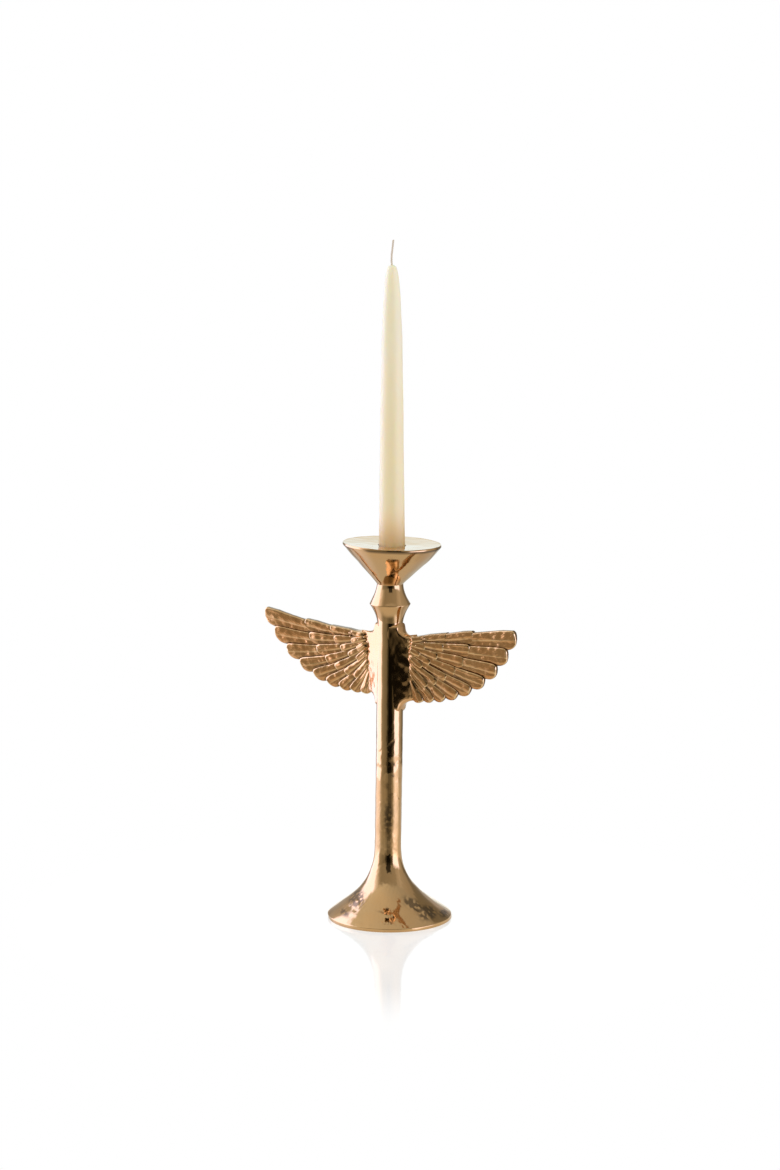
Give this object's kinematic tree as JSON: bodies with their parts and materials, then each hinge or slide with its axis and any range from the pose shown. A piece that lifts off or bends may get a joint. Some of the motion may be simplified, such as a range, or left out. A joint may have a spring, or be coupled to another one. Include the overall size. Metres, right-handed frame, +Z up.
{
  "type": "winged candle holder",
  "caption": "Cast brass candlestick with a flared hollow foot, slim stem, ridged knop and funnel cup, spread feathered wings at its shoulders, and an ivory taper candle.",
  "frame": {"origin": "middle of the ring that the foot rests on, on the stem's axis", "axes": "+Z up along the stem; the wings spread along X; the front of the wings faces -Y"},
  "size_m": [0.2384, 0.1032, 0.562],
  "materials": {
    "brass": "polished casting with a slightly uneven, hand-finished surface",
    "wax": "smooth satin candle wax",
    "cotton": "waxed braided cotton"
  },
  "bodies": {
    "root": {"candle_holder": "brass", "candle": "wax", "wick": "cotton"}
  },
  "joints": []
}
